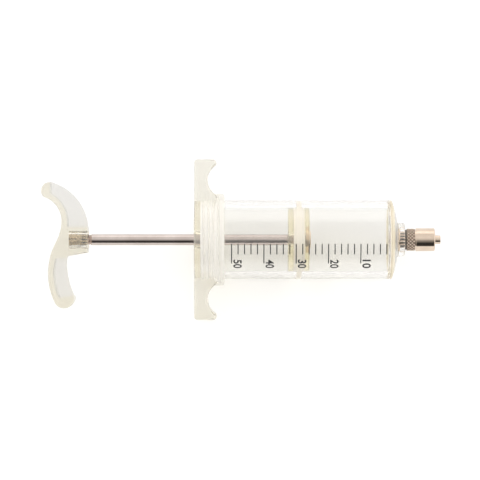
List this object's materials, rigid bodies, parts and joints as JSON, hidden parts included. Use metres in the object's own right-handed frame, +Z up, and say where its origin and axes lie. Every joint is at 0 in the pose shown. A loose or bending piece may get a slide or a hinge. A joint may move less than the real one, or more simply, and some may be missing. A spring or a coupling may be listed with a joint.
{
  "type": "luer lock syringe",
  "caption": "Reusable clear plastic syringe with a screwed rear cap and finger wings, a sliding plunger with an S-shaped palm grip, and a metal luer lock nozzle.",
  "frame": {"origin": "centre of the luer cone's end face, on the syringe's axis", "axes": "+X along the syringe's axis, out of the luer cone; +Z up from the surface that the syringe lies on, touching with its cap and one finger wing"},
  "size_m": [0.1823, 0.0744, 0.0424],
  "materials": {
    "clear_plastic": "clear polished moulding",
    "straw_plastic": "clear moulding with a faint straw tint",
    "silicone": "milky satin silicone",
    "washer_rubber": "dark matte rubber",
    "steel": "polished stainless steel",
    "plated_brass": "nickel plated, turned"
  },
  "bodies": {
    "barrel_assembly": {"barrel": "clear_plastic", "nose_insert": "plated_brass", "nozzle_washer": "washer_rubber", "luer_fitting": "plated_brass", "screw_cap": "straw_plastic"},
    "piston": {"piston_rear": "straw_plastic", "piston_ring": "silicone", "piston_front": "straw_plastic", "piston_nut": "plated_brass"},
    "plunger": {"plunger_rod": "steel", "handle": "straw_plastic", "handle_insert": "plated_brass"}
  },
  "joints": [
    {"name": "plunger_slide", "type": "slide", "parent": "barrel_assembly", "child": "piston", "axis": [1, 0, 0], "range_m": [-0.0398, 0.0363]},
    {"name": "handle_turn", "type": "hinge", "parent": "piston", "child": "plunger", "pos_m": [-0.0703, 0, 0], "axis": [1, 0, 0], "continuous": true}
  ]
}
